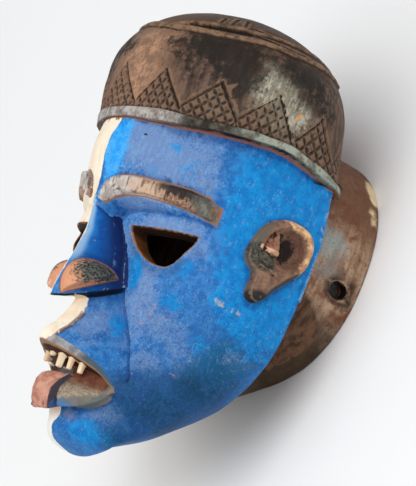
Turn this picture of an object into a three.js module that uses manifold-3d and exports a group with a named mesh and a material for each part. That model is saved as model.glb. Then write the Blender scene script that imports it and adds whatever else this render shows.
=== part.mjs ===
// A carved wooden face mask with a domed cap of hair: one block of wood, hollow behind,
// lying on its flat back rim with the face up. Millimetres, X to the mask's left, Y to its
// crown, Z out of the face. The rim's lowest point is the start of all Y sizes.
import * as THREE from "three";
import { mergeVertices } from "three/addons/utils/BufferGeometryUtils.js";
import { ParametricGeometry } from "three/addons/geometries/ParametricGeometry.js";
import Module from "manifold-3d";

const wasm = await Module();
wasm.setup();

// Driving dimensions
const WALL = 11;
const RIM_WIDTH = 172;
const RIM_HEIGHT = 169;
const RIM_ROUNDNESS = 2.25;
const COLLAR_DEPTH = 47;
const CHIN_TURN = -81;
const CHIN_FULLNESS = 3.5;
const CHIN_END = -97;
const BROW_LINE = 60;
const BROW_FRONT = 173.5;
const HAIRLINE = 121;
const CROWN_TURN = 166;
const CROWN_END = 221;
const CROWN_FULLNESS = 2.2;
const BAND_PROUD = 2.2;
const BAND_TOP = 136;
const NOSE_TIP_HEIGHT = 174;
const NOSE_TIP_DROP = -9;
const NOSE_UNDER_RISE = 0.37;
const MOUTH_HALF = 38;
const MOUTH_CORNER_Y = -53.6;
const LIP_FRONT = { y: -40, z: 168 };
const LIP_RISE = 0.3;
const LIP_DEPTH = 26.6;
const WEDGE_ROOT = 112;
const TONGUE_ROOT = 116;
const TONGUE_HALF = 11.5;
const TIE_HOLE = { y: 67.5, z: 16.5, halfHeight: 5.4, halfDepth: 7.1 };
const CROWN_RINGS = [
  { y: 189, height: 5 },
  { y: 199, height: 5 },
];
const CAP_AXIS_Z = 90;
// Facets round the outside, round the hollow and round the back rim
const SIDES = 40;
const INNER_SIDES = 28;
const RIM_SIDES = 44;
// Farther out than any side of the mask
const FAR = 400;
const CENTRE_Y = (CHIN_END + CROWN_END) / 2;

// Each frame: its Y, the front's height, the half width, the height of the widest place,
// the back's height, the roundness of the nose-side ridge, and the power of its bulge.
function frame(y, front, half, level, back, round, power = 2) {
  return { y, front, half, level, back, round, power };
}

const FACE = [
  frame(-88, 136.5, 34, 107, 98, 5, 1.5),
  frame(-72, 137, 46, 94, 73, 16, 1.7),
  frame(-56, 136, 60, 84, 57, 60),
  frame(-19, 128, 78, 64, 20, 60),
  frame(11, 133, 88, 54, -10, 90),
  frame(33, 138, 92, 50, -40, 120),
  frame(54, 148, 92.5, 50, -70, 120),
  frame(66, 152, 92.5, 50, -80, 120),
];
const FOREHEAD = [
  frame(50, 165, 93, 50, -80, 35),
  frame(78, 170, 93, 50, -80, 35),
  frame(94, 174.5, 93, 50, -80, 35),
  frame(108, 175.5, 92, 50, -80, 38),
  frame(126, 173, 91, 50, -80, 45),
];
const CAP = [
  frame(HAIRLINE, 174.5, 94, 60, 20, 60),
  frame(128, 175, 94, 64, 18, 70),
  frame(145, 175, 93, 80, 16, 120),
  frame(169, 173, 92, 97, 19, 300),
  frame(230, 173, 92, 97, 19, 300),
];
const INSIDE = [
  frame(-62, 116, 38, 90, 80, 40),
  frame(-40, 119, 56, 74, 58, 60),
  frame(-19, 116, 66, 62, 37, 60),
  frame(11, 121, 77, 54, 6, 90),
  frame(54, 134, 81, 50, -70, 120),
  frame(90, 150, 81, 50, -80, 60),
  frame(120, 161, 81, 52, 10, 60),
  frame(150, 161, 80, 84, 29, 200),
  frame(215, 161, 80, 95, 31, 300),
];

const THROAT = [
  frame(-52, 95, 34, 78, 54, 60),
  frame(-19, 85, 46, 62, 20, 60),
  frame(8, 75, 46, 50, -12, 60),
  frame(40, 75, 46, 50, -40, 60),
];

// A smooth curve through one field of the frames
function along(frames, field, y) {
  const slope = (i) => {
    const a = frames[Math.max(i - 1, 0)];
    const b = frames[Math.min(i + 1, frames.length - 1)];
    return (b[field] - a[field]) / (b.y - a.y);
  };
  let i = frames.findIndex((f) => f.y > y) - 1;
  if (i === -2) i = frames.length - 2;
  if (i < 0) i = 0;
  const [a, b] = [frames[i], frames[i + 1]];
  const h = b.y - a.y;
  const t = THREE.MathUtils.clamp((y - a.y) / h, 0, 1);
  const rise = a[field] * (2 * t ** 3 - 3 * t ** 2 + 1) + b[field] * (3 * t ** 2 - 2 * t ** 3);
  return rise + h * (slope(i) * (t ** 3 - 2 * t ** 2 + t) + slope(i + 1) * (t ** 3 - t ** 2));
}

function frameAt(frames, y, proud = 0) {
  const at = (field) => along(frames, field, y);
  return {
    front: at("front") + proud,
    half: at("half") + proud,
    level: at("level"),
    back: at("back") - proud,
    round: at("round"),
    power: at("power"),
  };
}

// The ring of a frame; kept shrinks it towards its middle, to round off an end.
function sectionRing(frames, y, sides, proud = 0, kept = 1) {
  const f = frameAt(frames, y, proud);
  const reach = Math.hypot(f.half, f.round) - f.round;
  const ring = [];
  for (let i = 0; i < sides; i++) {
    const angle = (2 * Math.PI * i) / sides;
    const [c, s] = [Math.cos(angle), Math.sin(angle)];
    const x = Math.sign(c) * Math.sqrt((kept * c * c * reach + f.round) ** 2 - f.round ** 2);
    const rise = (f.front - f.level) * (kept * s * s) ** (1 / f.power);
    const lift = s > 0 ? rise : (f.back - f.level) * Math.sqrt(kept) * -s;
    ring.push(new THREE.Vector3(Math.abs(c) < 1e-9 ? 0 : x, y, f.level + lift));
  }
  return ring;
}

function middleOf(ring) {
  return ring.reduce((sum, p) => sum.add(p), new THREE.Vector3()).divideScalar(ring.length);
}

// A closed skin over rings of equal count, each end closed at its middle. The rings may go
// round either way: those that would face inwards are taken in the opposite order.
function loft(rings) {
  const sides = rings[0].length;
  const start = middleOf(rings[0]);
  const end = middleOf(rings[rings.length - 1]);
  const turn = new THREE.Vector3();
  rings[1].forEach((p, i) => {
    const next = rings[1][(i + 1) % sides];
    turn.add(p.clone().sub(start).cross(next.clone().sub(start)));
  });
  const all = [rings[0].map(() => start), ...rings, rings[0].map(() => end)];
  if (turn.dot(middleOf(rings[1]).sub(start)) < 0) all.reverse();
  const surface = (u, v, target) =>
    target.copy(all[Math.round(v * (all.length - 1))][Math.round(u * sides) % sides]);
  return new ParametricGeometry(surface, sides, all.length - 1);
}

function steps(from, to, count) {
  return Array.from({ length: count + 1 }, (_, i) => from + ((to - from) * i) / count);
}

// How far along its closing end a body has rings
const CLOSING_STEPS = [0.3, 0.55, 0.75, 0.9, 0.98, 1];

function bodyOf(frames, heights, sides, { low, high, proud = 0 } = {}) {
  const rings = heights.map((y) => sectionRing(frames, y, sides, proud));
  const cap = (turn, end, power) => {
    for (const t of CLOSING_STEPS) {
      rings.push(sectionRing(frames, turn + (end - turn) * t, sides, proud, 1 - t ** power));
    }
  };
  if (high) cap(high.turn, high.end + proud, high.power);
  if (low) {
    rings.reverse();
    cap(low.turn, low.end - proud, low.power);
    rings.reverse();
  }
  return loft(rings);
}

// Booleans
function solid(geometry) {
  const g = geometry.clone();
  g.deleteAttribute("normal");
  g.deleteAttribute("uv");
  const merged = mergeVertices(g, 1e-4);
  const index = merged.index.array;
  const kept = [];
  for (let i = 0; i < index.length; i += 3) {
    const [a, b, c] = [index[i], index[i + 1], index[i + 2]];
    if (a !== b && b !== c && c !== a) kept.push(a, b, c);
  }
  return new wasm.Manifold(
    new wasm.Mesh({
      numProp: 3,
      vertProperties: new Float32Array(merged.attributes.position.array),
      triVerts: new Uint32Array(kept),
    }),
  );
}

const joined = (geometries) => geometries.map(solid).reduce((a, b) => a.add(b));

function mirrored(geometry) {
  const g = mergeVertices(geometry.clone());
  g.scale(-1, 1, 1);
  const index = g.index.array;
  for (let i = 0; i < index.length; i += 3) [index[i + 1], index[i + 2]] = [index[i + 2], index[i + 1]];
  return g;
}

const bothSides = (geometry) => [geometry, mirrored(geometry)];

function boxBetween(low, high) {
  const size = high.map((v, k) => v - low[k]);
  const middle = high.map((v, k) => (v + low[k]) / 2);
  return new THREE.BoxGeometry(...size).translate(...middle);
}

const everythingAbove = (z) => boxBetween([-FAR, -FAR, z], [FAR, FAR, FAR]);

// A large block whose top face passes through a point, tipped about X by the rise of Y for each Z
function blockBelow(y, z, risePerDepth) {
  const block = boxBetween([-FAR, -FAR, -FAR], [FAR, 0, FAR]);
  return block.rotateX(-Math.atan(risePerDepth)).translate(0, y, z);
}

// A shape in X and Y with its flat faces at two heights
function slab(shape, low, high) {
  const depth = high - low;
  return new THREE.ExtrudeGeometry(shape, { depth, bevelEnabled: false }).translate(0, 0, low);
}

function rimShape(inset) {
  const shape = new THREE.Shape();
  for (let i = 0; i < RIM_SIDES; i++) {
    const angle = (2 * Math.PI * i) / RIM_SIDES;
    const [c, s] = [Math.cos(angle), Math.sin(angle)];
    const x = (RIM_WIDTH / 2 - inset) * Math.sign(c) * Math.abs(c) ** (2 / RIM_ROUNDNESS);
    const y = (RIM_HEIGHT / 2 - inset) * Math.sign(s) * Math.abs(s) ** (2 / RIM_ROUNDNESS);
    if (i === 0) shape.moveTo(x, RIM_HEIGHT / 2 + y);
    else shape.lineTo(x, RIM_HEIGHT / 2 + y);
  }
  shape.closePath();
  return shape;
}

// The height of a body's front at a place, and a straight-line table
function frontHeight(frames, x, y, proud = 0) {
  const f = frameAt(frames, y, proud);
  const share = (Math.hypot(x, f.round) - f.round) / (Math.hypot(f.half, f.round) - f.round);
  return f.level + (f.front - f.level) * Math.max(1 - share, 0) ** (1 / f.power);
}

function table(points, at) {
  if (at <= points[0][0]) return points[0][1];
  for (let i = 1; i < points.length; i++) {
    const [[a, va], [b, vb]] = [points[i - 1], points[i]];
    if (at <= b) return THREE.MathUtils.lerp(va, vb, (at - a) / (b - a));
  }
  return points[points.length - 1][1];
}

const shapeOf = (points) => new THREE.Shape(points.map(([u, v]) => new THREE.Vector2(u, v)));

// The band's edges: for each angle round the cap from its front, in degrees, the height Y
const BAND_LOWER = [
  [0, 121.3],
  [19, 121.5],
  [34, 122.8],
  [50, 125.7],
  [66, 128],
  [79, 129.8],
  [87, 129.8],
  [97, 127.2],
  [107, 124],
];
const BAND_UPPER = [
  [0, 128.2],
  [24, 129.6],
  [41, 129.6],
  [56, 131.3],
  [70, 133.8],
  [86, 134.6],
  [101, 131.3],
  [109, 127.8],
];

// A ring of the cap whose height follows one edge of the band
function edgeRing(edge, proud = 0) {
  return sectionRing(CAP, HAIRLINE, SIDES, proud).map((p, i) => {
    const around = THREE.MathUtils.radToDeg(Math.atan2(Math.abs(p.x), p.z - CAP_AXIS_Z));
    return sectionRing(CAP, table(edge, around), SIDES, proud)[i];
  });
}

// Head
function head() {
  const face = bodyOf(FACE, [...steps(CHIN_TURN, -56, 3), ...steps(-45, 66, 10)], SIDES, {
    low: { turn: CHIN_TURN, end: CHIN_END, power: CHIN_FULLNESS },
  });
  const forehead = bodyOf(FOREHEAD, steps(52, BAND_TOP - 3, 8), SIDES);
  const capFoot = loft([edgeRing(BAND_LOWER), sectionRing(CAP, BAND_TOP, SIDES)]);
  const cap = bodyOf(CAP, steps(BAND_TOP - 1, CROWN_TURN, 4), SIDES, {
    high: { turn: CROWN_TURN, end: CROWN_END, power: CROWN_FULLNESS },
  });
  const band = loft([edgeRing(BAND_LOWER, BAND_PROUD), edgeRing(BAND_UPPER, BAND_PROUD)]);
  const shell = solid(face).add(solid(forehead).subtract(solid(browUnderside())));
  const collar = slab(rimShape(0), 0, COLLAR_DEPTH + WALL + 1);
  const throat = bodyOf(THROAT, steps(-52, 30, 6), SIDES);
  const crownRings = CROWN_RINGS.map(({ y, height }) => crownRing(y, height));
  return shell
    .add(solid(band))
    .intersect(solid(everythingAbove(COLLAR_DEPTH)))
    .add(joined([capFoot, cap, throat, collar, ...crownRings]));
}

// The forehead overhangs the eyes: this is the wood cut away below it.
function browUnderside() {
  const eyePlane = [
    [0, 150],
    [20, 147],
    [35, 142],
    [50, 133],
    [68, 119],
    [80, 104],
  ];
  const start = [
    [0, BROW_LINE],
    [9, BROW_LINE],
    [35, BROW_LINE + 4.5],
    [68, BROW_LINE + 7],
  ];
  const rings = [-110, -68, -50, -35, -20, -9, 9, 20, 35, 50, 68, 110].map((x) => {
    const edge = (z) => table(start, Math.abs(x)) + 0.42 * (z - table(eyePlane, Math.abs(x)));
    return [
      new THREE.Vector3(x, 30, -100),
      new THREE.Vector3(x, 30, 200),
      new THREE.Vector3(x, edge(200), 200),
      new THREE.Vector3(x, edge(90), 90),
      new THREE.Vector3(x, edge(90), -100),
    ];
  });
  return loft(rings);
}

// A low ridge round the crown of the cap
function crownRing(y, height) {
  const proud = 1.5;
  const rings = [y, y + height].map((at) => {
    const t = (at - CROWN_TURN) / (CROWN_END + proud - CROWN_TURN);
    return sectionRing(CAP, at, SIDES, proud, 1 - t ** CROWN_FULLNESS);
  });
  return loft(rings);
}

// Brows: crescents that stand a little proud of the forehead's lower edge
function brow() {
  const lower = [
    [7, 63],
    [8, 61.8],
    [10.6, 64],
    [16.3, 67.3],
    [22, 69.5],
    [35, 71.6],
    [50, 71.5],
    [62, 70],
    [72, 66.5],
  ];
  const upper = [
    [7, 66],
    [8, 71.5],
    [9, 74.6],
    [11, 77.2],
    [14, 79.4],
    [18, 81],
    [26, 82.4],
    [38, 83],
    [58, 83.5],
    [66, 82],
    [70, 78.5],
  ];
  const proud = 3.5;
  const rooted = 12;
  const rings = [7, 8, 11, 14, 20, 28, 36, 44, 52, 60, 66, 69.5].map((x) => {
    const [low, high] = [table(lower, x), table(upper, x)];
    const front = (y) => Math.min(frontHeight(FOREHEAD, x, y, proud), BROW_FRONT);
    return [
      new THREE.Vector3(x, low, front(low) - rooted),
      new THREE.Vector3(x, high, front(high) - rooted),
      new THREE.Vector3(x, high, front(high)),
      new THREE.Vector3(x, low, front(low)),
    ];
  });
  return loft(rings);
}

// A section of a ridge: from one foot over its blunt top to the other, and down to its root
function wedge(y, half, foot, topHalf, top) {
  const outline = [
    [half, foot],
    [topHalf, top],
    [-topHalf, top],
    [-half, foot],
    [-half - 1, WEDGE_ROOT],
    [half + 1, WEDGE_ROOT],
  ];
  return outline.map(([x, z]) => new THREE.Vector3(x, y, z));
}

// Nose: a long wedge with a nostril wing on each side, cut off below along one slope
function nose() {
  const ridge = [
    [NOSE_TIP_DROP, NOSE_TIP_HEIGHT],
    [7, 172],
    [21, 169],
    [44, 166],
    [BROW_LINE, 167],
    [70, 168],
  ];
  const halfBase = [
    [11, 16],
    [35, 12],
    [BROW_LINE, 8],
    [70, 6],
  ];
  const base = [
    [-10, 131],
    [11, 134],
    [35, 139],
    [BROW_LINE, 148],
    [70, 150],
  ];
  const rings = [-14, 0, 11, 21, 35, 44, 58, 68].map((y) => {
    const [top, half, foot] = [table(ridge, y), table(halfBase, y), table(base, y)];
    const sunk = 2;
    const low = foot - (sunk * (top - foot)) / half;
    return wedge(y, half + sunk, low, 1.2, top - 0.5);
  });
  const wing = new THREE.SphereGeometry(1, 20, 14).scale(14.5, 17.5, 20.5).translate(7.5, 5.5, 151.5);
  const below = blockBelow(NOSE_TIP_DROP, NOSE_TIP_HEIGHT, -NOSE_UNDER_RISE);
  return joined([loft(rings), ...bothSides(wing)]).subtract(solid(below));
}

// Muzzle: the wedge from the nose down to the upper lip, whose underside is the roof of the mouth
function muzzle() {
  const ridge = [
    [LIP_FRONT.y, LIP_FRONT.z],
    [-38, 170],
    [-34.5, 170.5],
    [-30, 168],
    [-24, 162.5],
    [-15, 157.5],
    [-6, 154.5],
    [10, 151],
  ];
  const crease = [
    [-60, 44],
    [-48, 41.6],
    [-42, 39.6],
    [-31, 33.7],
    [-20, 28.5],
    [-7, 22.6],
    [6, 17.3],
    [14, 15.7],
  ];
  const foot = [
    [-58, 119.5],
    [-48, 120.3],
    [-42, 120.4],
    [-31, 119.8],
    [-20, 120.6],
    [-7, 123.8],
    [6, 128],
    [14, 130.5],
  ];
  const rings = [-64, -56, -47, -41, -37, -33, -28, -22, -15, -6, 4, 12].map((y) =>
    wedge(y, table(crease, y), table(foot, y), 2, table(ridge, y) - 0.5),
  );
  return solid(loft(rings)).subtract(solid(blockBelow(LIP_FRONT.y, LIP_FRONT.z, LIP_RISE)));
}

// Lower lip: a ledge that slopes down and out, round in plan
function lowerLip() {
  const [nx, ny, nz, reach] = [0.507, 0.403, 0.761, 91.8];
  const [inner, root, undercut] = [-47, 105, 6.5];
  const rings = steps(-MOUTH_HALF + 0.6, MOUTH_HALF - 0.6, 12).map((x) => {
    const across = Math.abs(x);
    const front = Math.min(161 - 0.93 * across, 149);
    const behindTongue = across < TONGUE_HALF + 2 ? 7.5 : 0;
    const low = MOUTH_CORNER_Y - LIP_DEPTH * Math.sqrt(1 - (across / MOUTH_HALF) ** 2) + behindTongue;
    const edge = Math.max((reach - nx * across - nz * front) / ny, low + 0.2);
    return [
      new THREE.Vector3(x, Math.min(low + undercut, inner - 1), root),
      new THREE.Vector3(x, inner, root),
      new THREE.Vector3(x, inner, (reach - nx * across - ny * inner) / nz),
      new THREE.Vector3(x, edge, front),
      new THREE.Vector3(x, low, front),
    ];
  });
  return solid(loft(rings));
}

function mouthSlot() {
  return boxBetween([-22, -54.5, 99], [22, -45.5, 151]);
}

// Tongue: one side outline, as -Z and Y, through its whole width
function tongue() {
  const side = shapeOf([
    [-108, -54.2],
    [-149, -54.2],
    [-153.5, -60.5],
    [-155, -68],
    [-154, -75],
    [-152, -80],
    [-149.5, -82.6],
    [-132, -74],
    [-108, -74],
  ]);
  return slab(side, -TONGUE_HALF, TONGUE_HALF).rotateY(Math.PI / 2);
}

// Teeth: pegs of uneven length that hang behind the upper lip
function teeth() {
  const pegs = [
    { x: -17, z: 142, end: -50, radius: 2.4 },
    { x: -11.5, z: 148.5, end: -49, radius: 2.4 },
    { x: -5.5, z: 154.5, end: -50.5, radius: 2.2 },
    { x: 0.2, z: 155.6, end: -47, radius: 2.3 },
    { x: 6, z: 152.2, end: -53.2, radius: 2.7 },
    { x: 12, z: 147.4, end: -53, radius: 2.2 },
    { x: 17.4, z: 141.6, end: -53.4, radius: 2.4 },
  ];
  const top = -42;
  return pegs.map(({ x, z, end, radius }) =>
    new THREE.CylinderGeometry(radius, radius * 0.85, top - end, 10).translate(x, (top + end) / 2, z),
  );
}

// Ear: a rim that loops like a 9, a hollow floor inside it, and a three-cornered tab in front
function ear() {
  const path = [
    [90.5, 55],
    [90, 66],
    [87, 76],
    [80, 83],
    [71, 84.5],
    [62, 82],
    [58, 75],
    [58.5, 66],
    [62, 58],
    [68, 50],
    [76, 39],
    [81, 34],
  ];
  const middle = new THREE.CatmullRomCurve3(path.map(([z, y]) => new THREE.Vector3(0, y, z)));
  const top = [
    [50, 98],
    [62, 98],
    [80, 95],
    [100, 87],
  ];
  const [half, root] = [5.2, 74];
  const rings = steps(0, 1, 22).map((t) => {
    const at = middle.getPointAt(t);
    const going = middle.getTangentAt(t);
    const across = new THREE.Vector3(0, going.z, -going.y).multiplyScalar(half);
    const height = table(top, at.z);
    const point = (share, x) => at.clone().addScaledVector(across, share).setX(x);
    return [
      point(-1, root),
      point(-1, height - 2),
      point(-0.3, height),
      point(0.5, height),
      point(1, height - 2),
      point(1, root),
    ];
  });
  const floor = new THREE.CylinderGeometry(17.5, 17.5, 16, 24)
    .rotateZ(Math.PI / 2)
    .rotateY(-Math.atan(0.27))
    .translate(82, 69, 75);
  const tab = shapeOf([
    [-91, 65.5],
    [-88.3, 63.8],
    [-78.2, 63.5],
    [-79.5, 70],
    [-81.5, 79],
    [-86, 77],
  ]);
  return [loft(rings), floor, slab(tab, 78, 91.5).rotateY(Math.PI / 2)];
}

// Openings
function eyeSlot() {
  const outline = shapeOf([
    [19.2, 53.6],
    [61.8, 56.4],
    [61.5, 53.4],
    [47.8, 34.6],
    [40.5, 33],
    [32.8, 34.5],
    [27, 38],
    [22.6, 43],
    [20.3, 48],
  ]);
  return slab(outline, 60, 190);
}

function tieHole() {
  return new THREE.CylinderGeometry(1, 1, 60, 16)
    .rotateZ(Math.PI / 2)
    .scale(1, TIE_HOLE.halfHeight, TIE_HOLE.halfDepth)
    .translate(RIM_WIDTH / 2, TIE_HOLE.y, TIE_HOLE.z);
}

function hollow() {
  const inside = bodyOf(INSIDE, steps(-62, 165, 12), INNER_SIDES, {
    low: { turn: -62, end: -74, power: 2 },
    high: { turn: 165, end: CROWN_END - WALL, power: CROWN_FULLNESS },
  });
  const throat = bodyOf(THROAT, steps(-40, 30, 5), INNER_SIDES, { proud: -WALL });
  const behind = joined([slab(rimShape(WALL), -1, COLLAR_DEPTH + WALL + 1), throat]);
  return solid(inside).intersect(solid(everythingAbove(COLLAR_DEPTH + WALL))).add(behind);
}

function mask() {
  let body = head()
    .add(joined(bothSides(brow())))
    .add(nose())
    .add(muzzle())
    .add(lowerLip())
    .add(joined([...ear(), ...ear().map(mirrored)]));
  const openings = [mouthSlot(), ...bothSides(eyeSlot()), ...bothSides(tieHole())];
  body = body.subtract(hollow()).subtract(joined(openings));
  const inMouth = joined([tongue(), ...teeth()]).intersect(solid(everythingAbove(TONGUE_ROOT)));
  return body.add(inMouth).intersect(solid(everythingAbove(0)));
}

function meshOf(name, body, material) {
  const { vertProperties, triVerts, numProp } = body.getMesh();
  const geometry = new THREE.BufferGeometry();
  geometry.setAttribute("position", new THREE.BufferAttribute(new Float32Array(vertProperties), numProp));
  geometry.setIndex(new THREE.BufferAttribute(new Uint32Array(triVerts), 1));
  geometry.computeVertexNormals();
  const mesh = new THREE.Mesh(geometry, material);
  mesh.name = name;
  return mesh;
}

const paintedWood = new THREE.MeshStandardMaterial({ color: 0x2f6fc4, roughness: 0.7, metalness: 0 });
const part = new THREE.Group();
const maskMesh = meshOf("mask", mask(), paintedWood);
maskMesh.position.y = -CENTRE_Y;
part.add(maskMesh);

export default part;
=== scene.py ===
# A carved and painted wooden face mask with a cap of hair, lying on its flat back rim.
# The form is one implicit field, in millimetres: X to the mask's left, Y to its crown,
# Z out of the face, from the rim's lowest point. Its zero level becomes the mesh.
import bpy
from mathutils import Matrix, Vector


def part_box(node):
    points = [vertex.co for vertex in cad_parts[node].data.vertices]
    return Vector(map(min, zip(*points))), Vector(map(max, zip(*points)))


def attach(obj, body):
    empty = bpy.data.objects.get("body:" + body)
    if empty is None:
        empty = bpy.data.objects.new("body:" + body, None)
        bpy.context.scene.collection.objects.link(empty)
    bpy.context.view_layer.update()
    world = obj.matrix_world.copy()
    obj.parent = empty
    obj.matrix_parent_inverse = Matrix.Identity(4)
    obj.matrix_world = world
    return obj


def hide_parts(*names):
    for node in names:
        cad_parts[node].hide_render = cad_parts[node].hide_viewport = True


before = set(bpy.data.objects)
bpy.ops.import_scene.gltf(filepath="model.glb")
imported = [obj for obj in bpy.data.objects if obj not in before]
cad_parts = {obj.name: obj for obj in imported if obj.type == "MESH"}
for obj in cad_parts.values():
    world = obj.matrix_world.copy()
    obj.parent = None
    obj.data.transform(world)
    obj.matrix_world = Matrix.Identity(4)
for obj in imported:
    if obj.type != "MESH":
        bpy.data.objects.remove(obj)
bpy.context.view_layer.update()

from concurrent.futures import ThreadPoolExecutor

import bpy
import numpy as np
from mathutils import Matrix, Vector

MM = 0.001
low_corner, high_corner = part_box("mask")

# Driving dimensions
WALL = 11
RIM = (86, 84.5, 2.25)
COLLAR_DEPTH = 47
CHIN_END = -97
HAIRLINE = 121
CROWN_TURN = 166
CROWN_END = 223.3
CROWN_FULLNESS = 2.2
GRID = 0.8
MOST_TRIANGLES = 190000
SHIFT = Vector((low_corner[0] + high_corner[0], 2 * low_corner[1] - 2 * CHIN_END * MM, 0)) / 2

# Frames of the body: Y, front height, half width, height of the widest place, back height,
# roundness of the ridge, power of the bulge
FACE = [
    (-88, 136.5, 34, 107, 98, 5, 1.5),
    (-72, 137, 46, 94, 73, 16, 1.7),
    (-56, 136, 60, 84, 57, 60, 2),
    (-19, 128, 78, 64, 20, 60, 2),
    (11, 133, 88, 54, -10, 90, 2),
    (33, 138, 92, 50, -40, 120, 2),
    (54, 148, 92.5, 50, -70, 120, 2),
    (66, 152, 92.5, 50, -80, 120, 2),
    (130, 160, 93, 50, -80, 120, 2),
]
FOREHEAD = [
    (50, 165, 93, 50, -80, 35, 2),
    (78, 170, 93, 50, -80, 35, 2),
    (94, 174.5, 93, 50, -80, 35, 2),
    (108, 175.5, 92, 50, -80, 38, 2),
    (126, 173, 91, 50, -80, 45, 2),
]
CAP = [
    (HAIRLINE, 174.5, 94, 60, 20, 60, 2),
    (128, 175, 94, 64, 18, 70, 2),
    (145, 175, 93, 80, 16, 120, 2),
    (169, 173, 92, 97, 19, 300, 2),
    (230, 173, 92, 97, 19, 300, 2),
]
THROAT = [
    (-52, 95, 34, 78, 54, 60, 2),
    (-19, 85, 46, 62, 20, 60, 2),
    (8, 75, 46, 50, -12, 60, 2),
    (40, 75, 46, 50, -40, 60, 2),
]
INSIDE = [
    (-62, 116, 38, 90, 80, 40, 2),
    (-40, 119, 56, 74, 58, 60, 2),
    (-19, 116, 66, 62, 37, 60, 2),
    (11, 121, 77, 54, 6, 90, 2),
    (54, 134, 81, 50, -70, 120, 2),
    (90, 150, 81, 50, -80, 60, 2),
    (120, 161, 81, 52, 10, 60, 2),
    (150, 161, 80, 84, 29, 200, 2),
    (215, 161, 80, 95, 31, 300, 2),
]
# Each tooth: X, Z, Y of its end, half width
TEETH = [
    (-17.5, 142, -47, 2.2),
    (-12, 148.5, -46, 2.2),
    (-6.3, 154.5, -49.5, 2.0),
    (0.4, 155.6, -45.8, 2.0),
    (6.6, 152, -52.4, 2.6),
    (12.0, 147.4, -52, 2.15),
    (17.4, 141.6, -52.4, 2.4),
]
# The ear and the tab in its bowl from the side: Z, Y
EAR_OUTLINE = [(95, 57), (94.6, 66), (91.7, 77), (85.3, 85), (76, 89.2), (66, 89.5), (57.5, 86), (53, 79),
               (52.8, 69), (56, 60.5), (61.5, 53), (67.5, 45.5), (72.5, 38.5), (76, 32.5), (80, 29),
               (84.5, 31), (86.4, 36.5), (86, 43), (87.3, 48.5), (91.5, 51.5)]
TAB = [(91, 65.5), (88.3, 63.8), (78.2, 63.5), (79.5, 70), (81.5, 79), (86, 77)]
# Corners of the cap's cut triangles: degrees around the cap, Y
ZIGZAG = [(-118, 138), (-106, 161), (-92, 136), (-80, 162), (-67, 135), (-55, 160), (-43, 133), (-31, 160),
          (-22, 132), (-12, 162), (7, 132), (18.7, 157.5), (31.5, 133.5), (47.6, 156.3), (59.3, 136.5),
          (73.3, 162), (85.8, 137), (96, 161.5), (108.5, 138), (122, 161), (134, 138)]
HATCH_STEP = 6.2
WING_CENTRE = (7.5, 5.5, 151.5)
WING_RADII = (14.5, 17.5, 20.5)
# Where a rounded end starts, how long it is, and its power
CHIN_CLOSURE = (-81, 15, 3.5)
CAP_CLOSURE = (CROWN_TURN, CROWN_END - CROWN_TURN, CROWN_FULLNESS)
INNER_CHIN = (-62, 12, 2)
INNER_CROWN = (165, CROWN_END - WALL - 165, CROWN_FULLNESS)
CAP_AXIS_Z = 90
CAP_RADIUS = 88
EAR_FACE = 80
# Middle in Y and Z, half height and half depth
TIE_HOLE = (67.5, 16.5, 5.4, 7.1)
EYE_TOP = 53.6
MOUTH_HALF = 38.5
MOUTH_FLOOR = -60
TONGUE_HALF = 11.5
# The far half of the muzzle is narrower, and the far cheek fuller
FAR_MUZZLE = 1.18
FAR_CHEEK = 13
# The far brow sits a little higher and stops short
FAR_BROW_RISE = 3
FAR_BROW_SHORT = 16


# Field helpers
def curve(y, frames, column):
    table = np.array(frames, float)
    ys, values = table[:, 0], table[:, column]
    slopes = np.gradient(values, ys)
    i = np.clip(np.searchsorted(ys, y) - 1, 0, len(ys) - 2)
    h = ys[i + 1] - ys[i]
    t = np.clip((y - ys[i]) / h, 0, 1)
    a, b = values[i], values[i + 1]
    return (a + (b - a) * t * t * (3 - 2 * t)
            + h * (slopes[i] * t * (1 - t) ** 2 - slopes[i + 1] * t * t * (1 - t)))


def body(p, frames, proud=0.0, low=None, high=None):
    x, y, z = p
    front, half, level, back, ridge, power = [curve(y, frames, k) for k in range(1, 7)]
    front, half, back = front + proud, half + proud, back - proud
    reach = np.sqrt(half * half + ridge * ridge) - ridge
    s = np.sqrt(x * x + ridge * ridge)
    dz = z - level
    depth = np.where(dz > 0, front - level, level - back)
    share = np.abs(dz) / depth
    power = np.where(dz > 0, power, 2)
    bulge = share ** (power - 1)
    g = (s - ridge) / reach + bulge * share
    gx = x / s / reach
    gz = power * bulge / depth
    gy = 0
    for end, side in ((low, -1), (high, 1)):
        if end:
            turn, length, n = end
            length = length + proud
            t = np.maximum(side * (y - turn), 0) / length
            g = g + t ** n
            gy = gy + n * t ** (n - 1) / length
    return (g - 1) / np.sqrt(gx * gx + gy * gy + gz * gz + 1e-6)


def ellipsoid(p, centre, radii, n=2.0):
    q = [np.abs(v - c) / r for v, c, r in zip(p, centre, radii)]
    g = sum(v ** n for v in q)
    slope = np.sqrt(sum((v ** (n - 1) / r) ** 2 for v, r in zip(q, radii)))
    return (g ** (1 / n) - 1) / (slope * np.maximum(g, 1e-9) ** (1 / n - 1) + 1e-9)


def rim_outline(x, y, inset=0.0):
    half, tall, n = RIM[0] - inset, RIM[1] - inset, RIM[2]
    return ellipsoid((x, y), (0, RIM[1]), (half, tall), n)


def union(a, b, k=0.0):
    if np.isscalar(k) and not k:
        return np.minimum(a, b)
    h = np.clip(0.5 + 0.5 * (b - a) / k, 0, 1)
    return b + (a - b) * h - k * h * (1 - h)


def both(*fields):
    made = fields[0]
    for f in fields[1:]:
        made = np.maximum(made, f)
    return made


def least(*fields):
    made = fields[0]
    for f in fields[1:]:
        made = np.minimum(made, f)
    return made


def cut(a, b, k=0.0):
    return -union(-a, b, k)


def table(at, points):
    xs, values = zip(*points)
    return np.interp(at, xs, values)


def smooth(v):
    v = np.clip(v, 0, 1)
    return v * v * (3 - 2 * v)


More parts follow.
